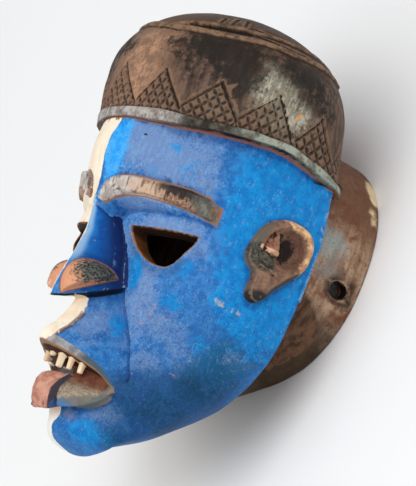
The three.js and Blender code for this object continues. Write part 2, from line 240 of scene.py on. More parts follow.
def segment(u, v, a, b):
    du, dv = b[0] - a[0], b[1] - a[1]
    t = np.clip(((u - a[0]) * du + (v - a[1]) * dv) / (du * du + dv * dv), 0, 1)
    return np.hypot(u - a[0] - t * du, v - a[1] - t * dv), t


def polygon(u, v, corners):
    nearest = np.full(np.shape(u), 1e3)
    inside = np.zeros(np.shape(u), bool)
    for a, b in zip(corners, corners[1:] + corners[:1]):
        nearest = np.minimum(nearest, segment(u, v, a, b)[0])
        crosses = (a[1] > v) != (b[1] > v)
        inside ^= crosses & (u < a[0] + (v - a[1]) * (b[0] - a[0]) / ((b[1] - a[1]) or 1e-9))
    return np.where(inside, -nearest, nearest)


def rounded(corners, parts=4):
    made = []
    count = len(corners)
    for i in range(count):
        a, b, c, d = [np.array(corners[(i + k) % count], float) for k in (-1, 0, 1, 2)]
        for t in np.arange(parts) / parts:
            bend = 2 * a - 5 * b + 4 * c - d + t * (3 * b - a - 3 * c + d)
            made.append(tuple(b + 0.5 * t * (c - a + t * bend)))
    return made


EAR_EDGE = rounded(EAR_OUTLINE)
LATTICE = np.random.default_rng(7).random((32, 32, 32)) * 2 - 1


def wobble(p, size, seed=0):
    whole, part = [], []
    for k, v in enumerate(p):
        q = v / size + 11.37 * (seed + k)
        floor = np.floor(q)
        f = q - floor
        whole.append(floor.astype(np.int64))
        part.append(f * f * (3 - 2 * f))
    total = 0
    for corner in range(8):
        weight = 1
        index = []
        for k in range(3):
            step = corner >> k & 1
            weight = weight * (part[k] if step else 1 - part[k])
            index.append((whole[k] + step) & 31)
        total = total + weight * LATTICE[tuple(index)]
    return total


# The carved form
def collar_top(y):
    return COLLAR_DEPTH + table(y, [(85, 0), (97, 1.5), (118, 5), (135, 6)])


def eye_line(across):
    return table(across, [(0, 150), (20, 147), (35, 142), (50, 133), (68, 119), (80, 104)])


def brow_under(across, z):
    start = table(across, [(0, 53), (7, 53), (12, 59), (20, 62), (35, 64.5), (68, 67)])
    return start + 0.42 * (z - eye_line(across))


def brow_edges(across):
    lower = table(across, [(7, 63), (8, 61.8), (10.6, 64), (16.3, 67.3), (22, 69.5), (35, 71.6), (50, 71.5),
                           (62, 70), (72, 66.5)])
    upper = table(across, [(7, 66), (8, 71.5), (9, 74.6), (11, 77.2), (14, 79.4), (18, 81), (26, 82.4),
                           (38, 83), (58, 83.5), (66, 82), (70, 78.5)])
    return lower, upper


def brow_shift(x):
    return FAR_BROW_RISE * smooth((-x - 2) / 4), FAR_BROW_SHORT * (x < 0)


def brow(p):
    x, y, z = p
    across = np.abs(x)
    raised, short = brow_shift(x)
    lower, upper = [edge + raised for edge in brow_edges(across)]
    proud = 4.2 * np.clip((upper - y) / 2.2, 0, 1) ** 0.7
    front = body(p, FOREHEAD) - proud
    return both(front, (lower - y) * 0.95, (y - upper) * 0.95, 7.0 - across,
                across + short - 69.5 - 0.1 * (y - 68), z - 173.5, 95 - z,
                (brow_under(across, z) - y) * 0.9)


def nostril_plane(p):
    x, y, z = p
    return (-9.6 + (172.4 - z) * 0.39 + 0.026 * np.minimum(np.abs(x), 20) ** 2 - y) * 0.85


def nose(p):
    x, y, z = p
    ridge = table(y, [(-9, 174), (7, 172), (21, 169), (44, 166), (60, 167), (70, 168)])
    half = table(y, [(-10, 17), (0, 17), (11, 16), (35, 12), (60, 8), (72, 6)])
    base = table(y, [(-10, 131), (11, 134), (35, 139), (60, 148), (72, 150)])
    slope = (ridge - base) / half
    sides = (z - ridge + slope * (np.sqrt(x * x + 4) - 2)) / np.sqrt(1 + slope * slope)
    return both(sides, y - 66, nostril_plane(p), 110 - z)


def wing(p):
    x, y, z = p
    across = np.abs(x)
    bulb = ellipsoid((across, y, z), WING_CENTRE, WING_RADII, 2.3)
    under = (-6 + (172 - z) * 0.6 + (across - 5) * 0.45 - y) * 0.78
    return both(bulb, under)


def crease_line(y):
    return table(y, [(-60, 44), (-48, 41.9), (-42, 39.9), (-31, 34), (-20, 28.8), (-7, 22.9), (6, 17.6),
                     (14, 16), (35, 12.6), (58, 9)])


# The sharp valley between the nose or muzzle and the cheek
def crease_depth(p):
    x, y, z = p
    line = crease_line(y)
    along = smooth((y + 52) / 8) * smooth((60 - y) / 6) * (z > 100)
    return 1.5 * along * np.clip(1 - np.abs(np.abs(x) - line) / 1.7, 0, 1)


def lip_roof(p):
    x, y, z = p
    across = np.abs(x)
    level = -40.6 - 0.3 * (168 - z) + 0.03 * np.maximum(z - 165, 0) ** 2
    arched = level + 2.4 * np.sin(np.pi * np.minimum(across, 37) / 37)
    return arched - 2.8 * smooth((across - 27) / 11) - y


def muzzle_sides(p):
    x, y, z = p
    ridge = table(y, [(-41, 168), (-38, 170), (-34.5, 170.5), (-30, 168), (-24, 162.5), (-15, 157.5),
                      (-6, 154.5), (10, 151)])
    crease = crease_line(y) - 0.3
    foot = table(y, [(-58, 119.5), (-48, 120.3), (-42, 120.4), (-31, 119.8), (-20, 120.6), (-7, 123.8),
                     (6, 128), (14, 130.5)])
    slope = (ridge - foot) / (np.sqrt(crease * crease + 25) - 5)
    reach = np.where(x < 0, FAR_MUZZLE * x, x)
    return (z - ridge + slope * (np.sqrt(reach * reach + 25) - 5)) / np.sqrt(1 + slope * slope)


def muzzle(p):
    x, y, z = p
    return both(muzzle_sides(p), y - 14, lip_roof(p) * 0.93, 100 - z,
                (np.abs(x) - crease_line(y) - 1.7) * 0.9)


# The flat upper side of the lower lip
def lip_plane(p):
    x, y, z = p
    return 0.507 * np.abs(x) + 0.403 * y + 0.761 * z - 91.8


def lower_lip(p):
    x, y, z = p
    across = np.abs(x)
    front = table(across, [(0, 139), (9, 140), (12, 148), (13.5, 148.5), (38, 125.7)])
    low = -53.6 - 26.6 * np.sqrt(np.maximum(1 - (x / 38) ** 2, 0)) + 0.47 * np.clip(front - z, 0, 14)
    low = low + 7.5 * smooth((15 - across) / 3)
    return both((low - y) * 0.7, (z - front) * 0.8, lip_plane(p), across - 38, 100 - z)


def tongue(p):
    x, y, z = p
    far = table(y, [(-83, 145), (-80, 149.5), (-75, 153), (-68, 155), (-61, 155), (-57, 153), (-54, 149)])
    near = table(y, [(-83, 151.5), (-80, 153), (-75, 154.5), (-68.5, 154.8), (-60.7, 151), (-53, 144.3)])
    front = far + (near - far) * smooth((x + 2) / 12) - 2.0 * smooth((-x - 7) / 5)
    low = -82.6 + 0.62 * np.clip(152 - z, 0, 16)
    return both(np.abs(x) - TONGUE_HALF, (z - front) * 0.8, y + 54.2, (low - y) * 0.9, 100 - z)


def teeth(p):
    x, y, z = p
    made = np.full(np.shape(x), 1e3)
    for tx, tz, end, radius in TEETH:
        taper = np.clip(radius - 0.06 * (-43 - y), 1.5, 4)
        peg = ((np.abs(x - tx) / taper) ** 3 + (np.abs(z - tz) / (taper * 0.95)) ** 3) ** (1 / 3)
        made = np.minimum(made, cut((peg - 1) * radius, -both(end - y, y + 41), 0.8))
    return made


def ear_height(z, y):
    top = table(z, [(50, 97), (62, 98), (80, 95.5), (100, 86)])
    edge = polygon(z, y, EAR_EDGE)
    bowl = smooth((-edge - 3.2) / 4.5) * smooth((y - 50) / 8) * smooth((93 - z) / 10)
    gouge = smooth(1.15 - np.hypot((z - 73) / 5, (y - 68.5) / 8.5))
    surface = top - 6.0 * bowl - 4.0 * gouge
    tab = polygon(z, y, TAB)
    tab_top = top - 1.6 - 0.10 * (z - 77) - 0.14 * np.maximum(y - 66, 0)
    surface = np.maximum(surface, np.where(tab < 0.8, tab_top, -1e3))
    blob = 1.3 - np.hypot((z - 86 - 0.3 * (y - 58)) / 8, (y - 58.3) / 6)
    surface = np.maximum(surface, top - 6 + 6.5 * smooth(blob) + np.where(blob < 0, -20, 0))
    groove = segment(z, y, (86, 51), (77, 50))[0]
    return surface - 1.6 * smooth(1 - groove / 2.5)


def ear(p):
    x, y, z = p
    edge = polygon(z, y, EAR_EDGE)
    rounding = 3.0 * np.clip(1 + edge / 3.4, 0, 1) ** 2
    return both((np.abs(x) - ear_height(z, y) + rounding) * 0.75, edge, 72 - np.abs(x))


def azimuth(p):
    return np.degrees(np.arctan2(p[0], p[2] - CAP_AXIS_Z))


def cap(p):
    lower, _ = band_edges(np.abs(azimuth(p)))
    return both(body(p, CAP, high=CAP_CLOSURE), lower - p[1])


def band_edges(around):
    lower = table(around, [(0, 121.3), (5, 121.7), (19, 121.5), (34, 122.8), (50, 125.7), (66, 128),
                           (79, 129.8), (87, 129.8), (97, 127.2), (107, 124), (120, 122.5)])
    upper = table(around, [(0, 128.2), (24, 129.6), (41, 129.6), (56, 131.3), (70, 133.8), (86, 134.6),
                           (101, 131.3), (109, 127.8), (120, 126)])
    return lower, upper


def band(p):
    x, y, z = p
    around = np.abs(azimuth(p))
    lower, upper = band_edges(around)
    proud = table(around, [(0, 1.0), (30, 1.4), (50, 2.0), (75, 2.7), (95, 2.6)]) * np.where(x < -4, 0.6, 1)
    return both(body(p, CAP) - proud, (lower - y) * 0.95, (y - upper) * 0.95, 44 - z)


def band_gap(p):
    around = np.abs(azimuth(p))
    lower, _ = band_edges(around)
    half = 1.8 * smooth((around - 54) / 20) * smooth((110 - around) / 8)
    return both(np.abs(p[1] - lower + half) - half, -3.5 - body(p, CAP), 44 - p[2], 0.3 - half)


# Crown lines, each as places on the dome, with half width and height or depth
CROWN_CENTRE = (0, 150, 95)
CROWN_RIDGES = [
    ([(-70, 201, 78), (-76, 200, 98), (-73, 199, 118), (-62, 198, 138), (-45, 197, 150), (-24, 196, 160.4),
      (-8, 194.5, 165), (5, 192.8, 165.6), (17.7, 191.4, 165.5), (36.8, 190.3, 160.2), (50.1, 190, 153.5),
      (62.6, 191, 143.8), (72, 192.8, 129), (78.8, 193.6, 115), (79, 196, 100.5), (73, 198.2, 79),
      (64, 200, 58)], 2.3, 1.5),
    ([(10, 193.8, 164), (26.7, 197, 158), (42.7, 198.3, 151.3), (54.6, 199.5, 141.1), (62.9, 200.3, 133.7),
      (67.5, 201.7, 123.5), (70.8, 202.6, 111.4), (71, 204, 97.4), (66, 206, 82), (58, 207, 64)], 1.8, 1.3),
]
CROWN_CUTS = [
    ([(24, 194.6, 160.5), (31, 194.2, 158.5), (43.8, 194.5, 150.4), (53.4, 195.1, 145.3), (60, 196.2, 138)],
     2.0, 2.3),
    ([(60, 196.2, 138), (68, 197, 130), (75, 197, 120)], 0.9, 0.9),
    ([(75, 197, 120), (78, 197, 110), (77.8, 198.8, 98)], 1.5, 1.9),
    ([(55, 202.9, 136), (64.5, 203.7, 126.5)], 1.2, 1.4),
    ([(34, 207, 143.7), (38, 201.7, 148.7)], 1.0, 1.1),
    ([(39.7, 209.3, 137.7), (45.7, 201.7, 145)], 1.1, 1.2),
    ([(43.7, 210, 132.5), (51.7, 204.1, 138.7)], 1.0, 1.1),
]


def zigzag_depth(p):
    x, y, z = p
    s = np.radians(azimuth(p)) * CAP_RADIUS
    depth = np.zeros(np.shape(x))
    within = np.zeros(np.shape(x))
    points = [(np.radians(a) * CAP_RADIUS, h) for a, h in ZIGZAG]
    for i in range(1, len(points) - 1, 2):
        left, apex, right = points[i - 1:i + 2]
        near = (s > left[0] - 3) & (s < right[0] + 3) & (y > 128) & (y < apex[1] + 3)
        if not near.any():
            continue
        u, v = s[near], y[near]
        made = np.zeros(len(u))
        (lu, lv), (au, av), (ru, rv) = left, apex, right
        rise = np.hypot(au - lu, av - lv)
        fall = np.hypot(ru - au, rv - av)
        off_left = ((u - lu) * (av - lv) - (v - lv) * (au - lu)) / rise
        off_right = ((u - au) * (rv - av) - (v - av) * (ru - au)) / fall
        inside = smooth(off_left / 0.8) * smooth(off_right / 0.8)
        for off, spacing in ((off_left, HATCH_STEP), (off_right, HATCH_STEP)):
            place = np.abs((off / spacing + 0.5) % 1 - 0.5) * spacing
            made = np.maximum(made, 1.1 * smooth(1.2 - place / 1.5) * inside)
        for a, b, width, deep in ((left, apex, 1.6, 1.5), (apex, right, 2.1, 2.4)):
            reach = segment(u, v, a, b)[0]
            made = np.maximum(made, deep * np.clip(1 - reach / width, 0, 1))
        depth[near] = np.maximum(depth[near], made)
        within[near] = np.maximum(within[near], inside)
    return depth, within


def path_reach(p, line):
    reach = np.full(np.shape(p[0]), 1e3)
    for a, b in zip(line, line[1:]):
        a, b = np.array(a, float), np.array(b, float)
        along = b - a
        t = np.clip(sum((v - c) * d for v, c, d in zip(p, a, along)) / max(along @ along, 1e-9), 0, 1)
        reach = np.minimum(reach, np.sqrt(sum((v - c - t * d) ** 2 for v, c, d in zip(p, a, along))))
    return reach


# Distance to a line on the dome, along its surface
def dome_reach(p, line):
    spread = [v - c for v, c in zip(p, CROWN_CENTRE)]
    radius = np.sqrt(sum(v * v for v in spread))
    ends = np.array(line, float) - CROWN_CENTRE
    ends = ends / np.linalg.norm(ends, axis=1, keepdims=True)
    return path_reach([v / radius for v in spread], ends) * radius


def dome_lines(p, lines):
    inside = np.full(np.shape(p[0]), -1e2)
    near = p[1] > 180
    q = [v[near] for v in p]
    made = inside[near]
    for line, half, _ in lines:
        made = np.maximum(made, half - dome_reach(q, line))
    inside[near] = made
    return inside


def crown_relief(p):
    raised = np.zeros(np.shape(p[0]))
    near = p[1] > 180
    q = [v[near] for v in p]
    made = np.zeros(len(q[0]))
    for line, half, high in CROWN_RIDGES:
        made = np.maximum(made, high * smooth((half + 0.8 - dome_reach(q, line)) / 1.6))
    for line, half, deep in CROWN_CUTS:
        made = made - (deep + 0.5 * made) * smooth((half + 0.7 - dome_reach(q, line)) / 1.4)
    raised[near] = made
    return raised


def eye_slot(p):
    x, y, z = p
    across = np.abs(x)
    top = EYE_TOP + 0.07 * (across - 20)
    lid = (np.hypot((across - 40.5) / 21.3, (y - 55) / 22) - 1) * 20
    slant = 0.806 * (across - 60.5) - 0.591 * (y - 56) - 2.4
    return both(cut(lid, -slant, 4), y - top, 60 - z)


def tie_hole(p):
    x, y, z = p
    height, depth, half_height, half_depth = TIE_HOLE
    reach = np.hypot((y - height) / half_height, (z - depth) / half_depth)
    return both(reach * half_height - half_height, 60 - np.abs(x))


def mouth_slot(p):
    x, y, z = p
    return both(np.abs(x) - MOUTH_HALF, lip_roof(p) * -0.93, MOUTH_FLOOR - y, 98 - z, z - 160, -lip_plane(p))


def inner_skin(p):
    return body(p, INSIDE, low=INNER_CHIN, high=INNER_CROWN)


def hollow(p):
    x, y, z = p
    inside = both(inner_skin(p), COLLAR_DEPTH + WALL - z)
    behind = both(rim_outline(x, y, WALL), z - COLLAR_DEPTH - WALL - 1)
    throat = both(body(p, THROAT, -WALL), y - 30, -40 - y)
    made = union(union(inside, behind, 5), throat, 6)
    return made + 0.5 * wobble(p, 14, 5)


def skin_field(p):
    x, y, z = p
    far_cheek = FAR_CHEEK * smooth(1 - np.hypot((x + 46) / 46, (y - 44) / 36)) * (x < 0)
    return body((x, y, z - far_cheek), FACE, low=CHIN_CLOSURE)


def field(p):
    x, y, z = p
    across = np.abs(x)
    soft = 0.5 * wobble(p, 26, 1) + 0.22 * wobble(p, 9, 2)
    skin = skin_field(p)
    face = cut(both(skin, y - 75), z - COLLAR_DEPTH, 3)
    throat = both(body(p, THROAT), y - 30, -52 - y)
    face = union(face, throat, 6)
    top = body(p, FOREHEAD)
    fore = both(top, (brow_under(across, z) - y) * 0.9, y - 134, collar_top(y) - z)
    made = union(face, fore, 1.0)
    slope = smooth((y - 22) / 62)
    temple = both(skin * (1 - slope) + top * slope, collar_top(y) - z, y - 120, -20 - y)
    made = made + (temple - made) * smooth((across - 65) / 9) * (y < 120) * (y > 22) * (z > 50)
    made = union(made, brow(p), 0.6)
    collar = both(rim_outline(x, y), z - COLLAR_DEPTH - 12)
    made = union(made, collar, 1.5)
    made = union(made, nose(p), 1.4)
    made = union(made, muzzle(p), 1.2 + 5 * smooth((-47 - y) / 6))
    made = union(made, wing(p), 0.8)
    made = union(made, lower_lip(p), 1.2 + 1.2 * smooth((across - 26) / 9))
    made = union(made, ear(p), 1.2)
    hair = cap(p) + zigzag_depth(p)[0] - crown_relief(p)
    made = cut(made, band_gap(p), 0.5)
    made = union(made, union(hair, band(p), 0.8), 0.5)
    made = made + soft
    made = cut(made, hollow(p), 1.0)
    made = cut(made, eye_slot(p), 0.8)
    made = made + crease_depth(p)
    made = cut(made, tie_hole(p), 1.0)
    made = cut(made, mouth_slot(p), 0.4)
    made = union(made, tongue(p) + 0.5 * soft, 0.8)
    made = union(made, teeth(p), 0.3)
    return cut(made, z, 1.2)


# Mesh of the zero level
def in_parts(function, points, size=120000):
    parts = [points[:, i:i + size] for i in range(0, points.shape[1], size)]
    with ThreadPoolExecutor(4) as pool:
        return np.concatenate(list(pool.map(lambda part: function([v for v in part]), parts)))


def zero_level(step):
    low = np.array([-101.0, -101.0, -3.0])
    blocks = np.ceil((np.array([101.0, 225.0, 183.0]) - low) / (4 * step)).astype(int)
    values = np.zeros(blocks * 4, np.float32)
    index = np.stack(np.meshgrid(*[np.arange(n) for n in blocks], indexing="ij"), -1).reshape(-1, 3)
    middle = low + (index * 4 + 1.5) * step
    rough = in_parts(field, middle.T)
    near = np.abs(rough) < 5.6 * step
    view = values.reshape(blocks[0], 4, blocks[1], 4, blocks[2], 4)
    view[:] = np.where(rough > 0, 9.0, -9.0).reshape(blocks)[:, None, :, None, :, None]
    inner = np.stack(np.meshgrid(*[np.arange(4)] * 3, indexing="ij"), -1).reshape(-1, 3)
    nodes = (index[near][:, None, :] * 4 + inner[None]).reshape(-1, 3)
    values[tuple(nodes.T)] = in_parts(field, (low + nodes * step).T)
    print("grid", values.shape, "sampled", len(nodes))
    return low, values


def surface_net(low, values, step):
    shape = np.array(values.shape) - 1
    quads, cells, places = [], [], []
    inside = values < 0
    for axis in range(3):
        ahead = [slice(None)] * 3
        behind = [slice(None)] * 3
        ahead[axis] = slice(1, None)
        behind[axis] = slice(None, -1)
        crossing = inside[tuple(ahead)] != inside[tuple(behind)]
        others = [k for k in range(3) if k != axis]
        edge = np.argwhere(crossing)
        edge = edge[(edge[:, others] > 0).all(1) & (edge[:, others] < shape[others]).all(1)]
        start = values[tuple(edge.T)]
        end_node = edge.copy()
        end_node[:, axis] += 1
        end = values[tuple(end_node.T)]
        place = edge.astype(float)
        place[:, axis] += start / (start - end)
        ring = []
        for a, b in ((0, 0), (-1, 0), (-1, -1), (0, -1)):
            cell = edge.copy()
            cell[:, others[0]] += a
            cell[:, others[1]] += b
            ring.append(np.ravel_multi_index(cell.T, shape))
            cells.append(ring[-1])
            places.append(place)
        ring = np.stack(ring, 1)
        flip = (start < 0) == (axis != 1)
        ring[flip] = ring[flip][:, ::-1]
        quads.append(ring)
    cells = np.concatenate(cells)
    places = np.concatenate(places)
    used, inverse = np.unique(cells, return_inverse=True)
    count = np.bincount(inverse)
    points = np.stack([np.bincount(inverse, places[:, k]) / count for k in range(3)], 1)
    quads = np.searchsorted(used, np.concatenate(quads))
    return low + points * step, quads[:, ::-1]


def settled(points, step):
    for _ in range(2):
        at = in_parts(field, points.T)
        slope = np.stack([(in_parts(field, (points + shift).T) - at) / 0.05
                          for shift in np.eye(3) * 0.05], 1)
        move = -at[:, None] * slope / np.maximum((slope ** 2).sum(1), 0.2)[:, None]
        length = np.linalg.norm(move, axis=1, keepdims=True)
        points = points + move * np.minimum(1, 0.6 * step / np.maximum(length, 1e-9))
    return points


def mesh_object(name, points, quads):
    mesh = bpy.data.meshes.new(name)
    mesh.vertices.add(len(points))
    mesh.vertices.foreach_set("co", (points * MM + np.array(SHIFT)).ravel())
    mesh.loops.add(quads.size)
    mesh.loops.foreach_set("vertex_index", quads.ravel().astype(np.int32))
    mesh.polygons.add(len(quads))
    mesh.polygons.foreach_set("loop_start", np.arange(0, quads.size, 4, dtype=np.int32))
    mesh.update(calc_edges=True)
    mesh.validate()
    made = bpy.data.objects.new(name, mesh)
    bpy.context.collection.objects.link(made)
    return made


def thinned(piece, most):
    count = sum(len(face.vertices) - 2 for face in piece.data.polygons)
    modifier = piece.modifiers.new("thin", "DECIMATE")
    modifier.ratio = min(1, most / count)
    view_layer = bpy.context.evaluated_depsgraph_get()
    fewer = bpy.data.meshes.new_from_object(piece.evaluated_get(view_layer))
    piece.modifiers.clear()
    piece.data = fewer
    print("triangles", count, "to", sum(len(face.vertices) - 2 for face in fewer.polygons))


# Where each finish lies: signed distances in mm above zero inside, and soft shares from 0 to 1
PAINT_BORDER = [(-97, -13), (-92, -8), (-90, -3), (-84, 2), (-80, 5), (-60, 1), (-44, 1), (-40.5, 4.3),
                (-34.6, 7.8), (-12, 8), (-1, 6.5), (2, 0.5), (62, -0.5), (70, -1.2), (80, 0), (92, 0.8),
                (100, 1.8), (106, 2.4), (113, 4.4), (125, 4.6)]
# Chips and marks: two ends and a radius
CHIPS = [((73.5, 21, 99), (77, 20.3, 94), 1.8), ((77, 20, 93), (79.5, 19, 89), 1.3),
         ((80, 19, 88), (82.5, 18.2, 83), 1.6)]
CRACKS = [((39.8, -51.5, 124.6), (41.5, -56, 121.7), 0.4), ((41.9, -49.5, 121.5), (41.8, -56.4, 121.2), 0.4)]
SCUFFS = [((42, 8, 121), (39, 1, 121), 0.7), ((35, -5, 122), (34, -8, 121), 1.0),
          ((47, 1, 116), (50, 0, 115), 0.8), ((60, -34, 103), (65, -36, 98), 0.3),
          ((70, 95, 123), (71, 92, 123), 0.6)]
GASHES = [((27, 111, 166), (27, 111, 166), 1.5), ((31, 110.5, 165), (31, 110.5, 165), 1.2),
          ((53, 163, 158), (53, 150, 159), 1.5), ((15, -16, 140), (16, -17, 140), 1.4),
          ((7, -79.3, 152.7), (7, -79.3, 152.7), 0.9)]
FRESH = [((92.5, 157.5, 98.5), (91.5, 151.5, 102), 1.2)]
# Bright patches of the blue: centre, reach each way and strength
AZURE = [((10, 98, 174), (8, 30, 20), 1.2), ((38, 86, 164), (6, 10, 12), 0.7),
         ((50, 112, 160), (7, 7, 14), 0.8), ((60, 96, 150), (9, 12, 14), 0.8),
         ((50, 12, 116), (11, 5, 10), 1.0), ((24, 22, 134), (5, 16, 9), 1.0),
         ((24, -10, 130), (8, 12, 10), 0.9), ((68, -8, 95), (9, 12, 12), 0.7),
         ((22, -86, 122), (16, 9, 16), 0.9), ((58, 36, 118), (9, 10, 12), 0.8)]
# Patches of colour and wear that are alike on both sides, in the same terms, with the cap's sheen and the
# rim's gold as painted highlights
WORN = {
    "pale": [((36, 71, 154), (34, 9, 18), 1.0), ((30, 108, 165), (26, 26, 30), 0.95),
             ((54, 98, 152), (30, 28, 30), 1.0), ((16, 84, 170), (12, 10, 12), 0.6),
             ((44, 50, 132), (34, 14, 26), 1.1), ((30, 5, 126), (13, 26, 16), 1.0),
             ((44, -8, 116), (16, 22, 18), 0.55), ((47, -30, 114), (13, 11, 14), 0.85),
             ((14, -20, 142), (12, 16, 16), 0.85), ((31, -72, 122), (14, 7, 14), 0.9),
             ((78, 20, 95), (11, 16, 14), 0.7), ((94, 30, 60), (8, 10, 14), 0.55),
             ((60, -20, 104), (14, 18, 14), 0.6), ((82, -10, 76), (8, 8, 12), 0.5)],
    "tan": [((12, -78, 134), (11, 4, 8), 0.9), ((16, -30, 146), (8, 6, 8), 0.5),
            ((40, 30, 128), (12, 8, 10), 0.4), ((66, 86, 128), (7, 10, 10), 0.5),
            ((72, 8, 100), (10, 5, 12), 0.5)],
    "teal": [((78, -14, 80), (22, 22, 24), 0.9), ((70, -34, 88), (18, 22, 24), 0.9),
             ((52, -58, 98), (30, 20, 26), 0.8), ((30, -84, 108), (34, 10, 26), 0.7)],
    "soot": [((54, 181, 152), (30, 14, 34), 1.35), ((68, 170, 138), (16, 22, 24), 1.15),
             ((24, 176, 168), (12, 8, 14), 0.8), ((84, 184, 104), (16, 14, 26), 1.1),
             ((44, 160, 162), (7, 14, 12), 0.75), ((90, 172, 90), (12, 12, 26), 0.8),
             ((10, 186, 166), (16, 8, 14), 0.45), ((0, 186, 20), (90, 40, 30), 0.5)],
    "gloss_and_painted_sheen": [((84, 162, 120), (14, 15, 18), 1.0), ((90, 152, 106), (12, 14, 18), 0.95),
              ((64, 144, 148), (10, 10, 16), 0.5), ((80, 178, 126), (10, 5, 12), 0.7)],
    "stain": [((88, 92, 36), (14, 13, 16), 0.9), ((88, 76, 30), (12, 16, 16), 0.6),
              ((70, 38, 26), (20, 14, 22), 0.5)],
    "painted_rim_highlight": [((66, 145, 3), (16, 14, 6), 1.0), ((78, 127, 5), (12, 14, 6), 0.7),
             ((84, 58, 3), (8, 12, 5), 0.4)],
}


def strokes(p, lines):
    nearest = np.full(np.shape(p[0]), -1e2)
    for a, b, radius in lines:
        nearest = np.maximum(nearest, radius - path_reach(p, [a, b]))
    return nearest


def soft_spots(p, spots):
    made = np.zeros(np.shape(p[0]))
    for centre, radii, strength in spots:
        reach = sum(((v - c) / r) ** 2 for v, c, r in zip(p, centre, radii))
        made = np.maximum(made, strength * np.exp(-0.7 * reach))
    return made


def regions(p):
    x, y, z = p
    across = np.abs(x)
    around = np.abs(azimuth(p))
    lower, upper = band_edges(around)
    raised, short = brow_shift(x)
    brow_low, brow_high = [edge + raised for edge in brow_edges(across)]
    brow_front = body(p, FOREHEAD) + 1.5
    edge = polygon(z, y, EAR_EDGE)
    border = np.where((y > -10) & (y < 60) & (z > 161), 0.3, table(y, PAINT_BORDER))
    mirrored = (across, y, z)
    off_collar = both(z - 46, rim_outline(x, y) - 1.5)
    lip_height = table(across, [(4, 7), (8, 6.2), (12, 5.8), (18, 5.6), (26, 4.9), (34, 3.4), (40, 1)])
    return {
        "across": across,
        "height": y,
        "depth": z,
        "blue_side": x - border,
        "seam": least(1.1 - np.abs(x - border), -9 - y, y + 42),
        "hair": least(y - lower, off_collar),
        "band": least(y - lower, upper - y, off_collar),
        "under_band": least(1.0 - np.abs(y - lower + 0.6), z - 46),
        "band_gap": 0.7 - band_gap(p),
        "brow": least(y - brow_low, brow_high - y, across - 7.0,
                      69.5 + 0.1 * (y - 68) - across - short, brow_front),
        "brow_rise": np.clip((y - brow_low) / (brow_high - brow_low), 0, 1),
        "wing": -wing(p) + 0.6,
        "nose_side": np.where((nose(p) < 1.2) & (y > 0) & (y < 66), across / crease_line(y), -1),
        "ring_ridge": dome_lines(p, CROWN_RIDGES),
        "ring_gap": dome_lines(p, CROWN_CUTS[:4]),
        "eye_depth": -skin_field(p),
        "tie_wall_shade": least(1.5 - tie_hole(p), 85 - across),
        "crack": strokes(mirrored, CRACKS),
        "nose_under_shade": least(1.0 - np.abs(nostril_plane(p)), z - 128, 13 - y),
        "lip": least(lip_height + lip_roof(p), 39.5 - across, z - 118, y + 55.5, x - border + 1),
        "lip_under": least(lip_roof(p) * 0.93 + 0.7, MOUTH_HALF - across, lip_plane(p) + 1.8),
        "lip_edge": muzzle_sides(p) + 1.7,
        "hatched": zigzag_depth(p)[1],
        "tongue": least(-tongue(p) + 0.9, 11.8 - across),
        "teeth": -teeth(p) + 0.45,
        "ear": least(-edge + 0.8, across - 79),
        "ear_crest_highlight": least(5.0 + edge - 7 * smooth((z - 74) / 8) - 6 * smooth((64 - y) / 8),
                           across - EAR_FACE),
        "ear_low": least(3.2 + edge - 3.2 * smooth((z - 82) / 4) - 4 * smooth((y - 56) / 5), across - 84),
        "ear_tab": least(0.8 - polygon(z, y, TAB), across - 84),
        "ear_lip_highlight": least(1.6 - segment(z, y, (90, 65.2), (79, 64.6))[0], across - 86),
        "ear_bowl": least(13 - np.hypot((z - 69.5) / 0.9, y - 71), across - EAR_FACE),
        "ear_blob": least(7 - 7 * np.hypot((z - 86 - 0.3 * (y - 58)) / 10.5, (y - 59) / 8.5),
                          across - EAR_FACE),
        "gouge": least(1 - np.hypot((z - 72.5) / 6, (y - 69.5) / 8.6), across - EAR_FACE) * 5,
        "lobe_tip": least(6 - np.hypot(z - 81, y - 31), across - 78),
        "collar": collar_top(y) + 0.5 - z,
        "inside": -least(inner_skin(p), both(rim_outline(x, y, WALL), z - 60)) + 1.6,
        "lower_lip": least(-lower_lip(p) + 1.2, 36 - across),
        "lip_shelf": least(1.4 - np.abs(lip_plane(p)), 34 - across, 1.2 - lower_lip(p)),
        "eye_wall": -eye_slot(p) + 0.8,
        "chip": strokes(mirrored, CHIPS),
        "scuff": strokes(p, SCUFFS),
        "gash": strokes(p, GASHES),
        "fresh": strokes(p, FRESH),
        "azure": soft_spots(p, AZURE),
        **{name: soft_spots(mirrored, spots) for name, spots in WORN.items()},
    }


# How far the surface lies below the mean of its surroundings, in mm, used to paint shade into hollows and
# creases
def hollowness(mesh, points, rounds):
    ends = np.empty(len(mesh.edges) * 2, np.int32)
    mesh.edges.foreach_get("vertices", ends)
    a, b = ends.reshape(-1, 2).T
    count = len(points)
    degree = np.bincount(a, minlength=count) + np.bincount(b, minlength=count)
    mean = points.copy()
    for _ in range(rounds):
        around = np.stack([np.bincount(a, mean[b, k], count) + np.bincount(b, mean[a, k], count)
                           for k in range(3)], 1)
        mean = (mean + around / np.maximum(degree, 1)[:, None]) / 2
    normals = np.empty(count * 3, np.float32)
    mesh.vertices.foreach_get("normal", normals)
    return ((mean - points) * normals.reshape(-1, 3)).sum(1)


def write_attributes(piece):
    mesh = piece.data
    places = np.empty(len(mesh.vertices) * 3, np.float32)
    mesh.vertices.foreach_get("co", places)
    points = (places.reshape(-1, 3).astype(float) - np.array(SHIFT)) / MM
    values = regions([v for v in points.T])
    # Broad and fine hollowness, which the finishes use as painted shade
    values["hollow_shade"] = hollowness(mesh, points, 40)
    values["groove"] = hollowness(mesh, points, 4) - 0.1 * values["hollow_shade"]
    for name, numbers in values.items():
        kept = mesh.attributes.new(name, "FLOAT", "POINT")
        kept.data.foreach_set("value", numbers.astype(np.float32))


